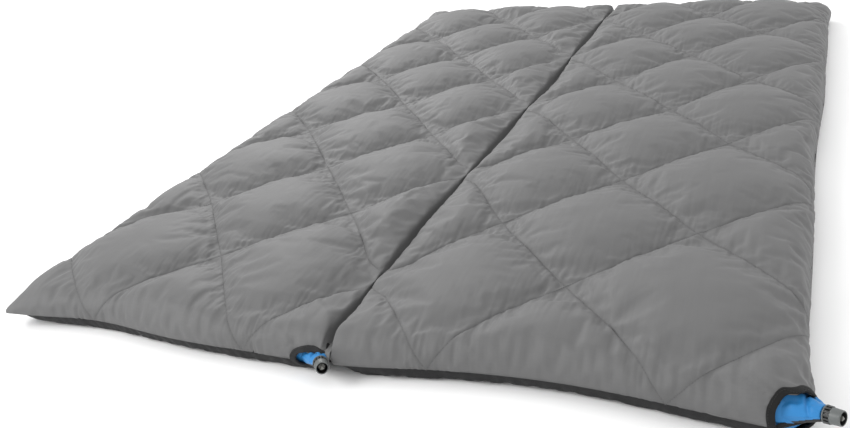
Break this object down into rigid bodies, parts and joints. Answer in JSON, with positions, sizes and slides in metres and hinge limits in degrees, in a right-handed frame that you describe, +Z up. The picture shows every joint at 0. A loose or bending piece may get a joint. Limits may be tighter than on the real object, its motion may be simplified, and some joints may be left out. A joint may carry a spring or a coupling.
{
  "type": "camp quilt",
  "caption": "Diamond-quilted double down topper fitted over side-by-side sleeping pads, folding along its centre seam, with a twist valve at each pad's corner opening.",
  "frame": {"origin": "on the ground under the middle of the whole box, valves included", "axes": "+Z up, +Y along the bed away from the valves, +X across the bed to the right half"},
  "size_m": [1.3185, 2.0516, 0.101],
  "materials": {
    "shell_grey": "downproof ripstop, soft sheen",
    "down": "loose down clusters",
    "lining_grey": "light plain weave",
    "skirt_charcoal": "stretch knit, matte",
    "binding_black": "folded grosgrain binding",
    "elastic_black": "braided elastic cord",
    "tab_grey": "woven webbing",
    "pad_blue": "coated airtight pad fabric",
    "foam": "open-cell foam",
    "valve_grey": "satin moulded plastic",
    "valve_black": "satin moulded plastic",
    "seal_rubber": "matte rubber"
  },
  "bodies": {
    "left_half": {"left_top_shell": "shell_grey", "left_down_fill": "down", "left_lining": "lining_grey", "left_skirt": "skirt_charcoal", "left_hem_elastic": "elastic_black", "left_valve_binding": "binding_black", "left_pad_skin": "pad_blue", "left_pad_core": "foam", "left_valve_base": "valve_black", "left_valve_stem": "valve_black", "centre_seam_tape": "skirt_charcoal", "front_seam_tab": "tab_grey"},
    "right_half": {"right_top_shell": "shell_grey", "right_down_fill": "down", "right_lining": "lining_grey", "right_skirt": "skirt_charcoal", "right_hem_elastic": "elastic_black", "right_valve_binding": "binding_black", "right_pad_skin": "pad_blue", "right_pad_core": "foam", "right_valve_base": "valve_black", "right_valve_stem": "valve_black"},
    "left_seal_carrier": {"left_valve_seal": "seal_rubber"},
    "left_knob": {"left_valve_knob": "valve_grey"},
    "right_seal_carrier": {"right_valve_seal": "seal_rubber"},
    "right_knob": {"right_valve_knob": "valve_grey"}
  },
  "joints": [
    {"name": "centre_fold", "type": "hinge", "parent": "left_half", "child": "right_half", "pos_m": [-0.0228, 0, 0.102], "axis": [0, -1, 0], "range_deg": [0, 180]},
    {"name": "left_valve_advance", "type": "slide", "parent": "left_half", "child": "left_seal_carrier", "axis": [0.6063, -0.776, 0.1736], "range_m": [0, 0.005]},
    {"name": "left_valve_twist", "type": "hinge", "parent": "left_seal_carrier", "child": "left_knob", "pos_m": [-0.03211, -0.99642, 0.03537], "axis": [0.6063, -0.776, 0.1736], "range_deg": [0, 360]},
    {"name": "right_valve_advance", "type": "slide", "parent": "right_half", "child": "right_seal_carrier", "axis": [0.8695, -0.4623, 0.1736], "range_m": [0, 0.005]},
    {"name": "right_valve_twist", "type": "hinge", "parent": "right_seal_carrier", "child": "right_knob", "pos_m": [0.62816, -0.97226, 0.04537], "axis": [0.8695, -0.4623, 0.1736], "range_deg": [0, 360]}
  ],
  "couplings": [
    {"joint": "left_valve_advance", "follows": "left_valve_twist", "m_per_rad": 0.0007957},
    {"joint": "right_valve_advance", "follows": "right_valve_twist", "m_per_rad": 0.0007957}
  ]
}
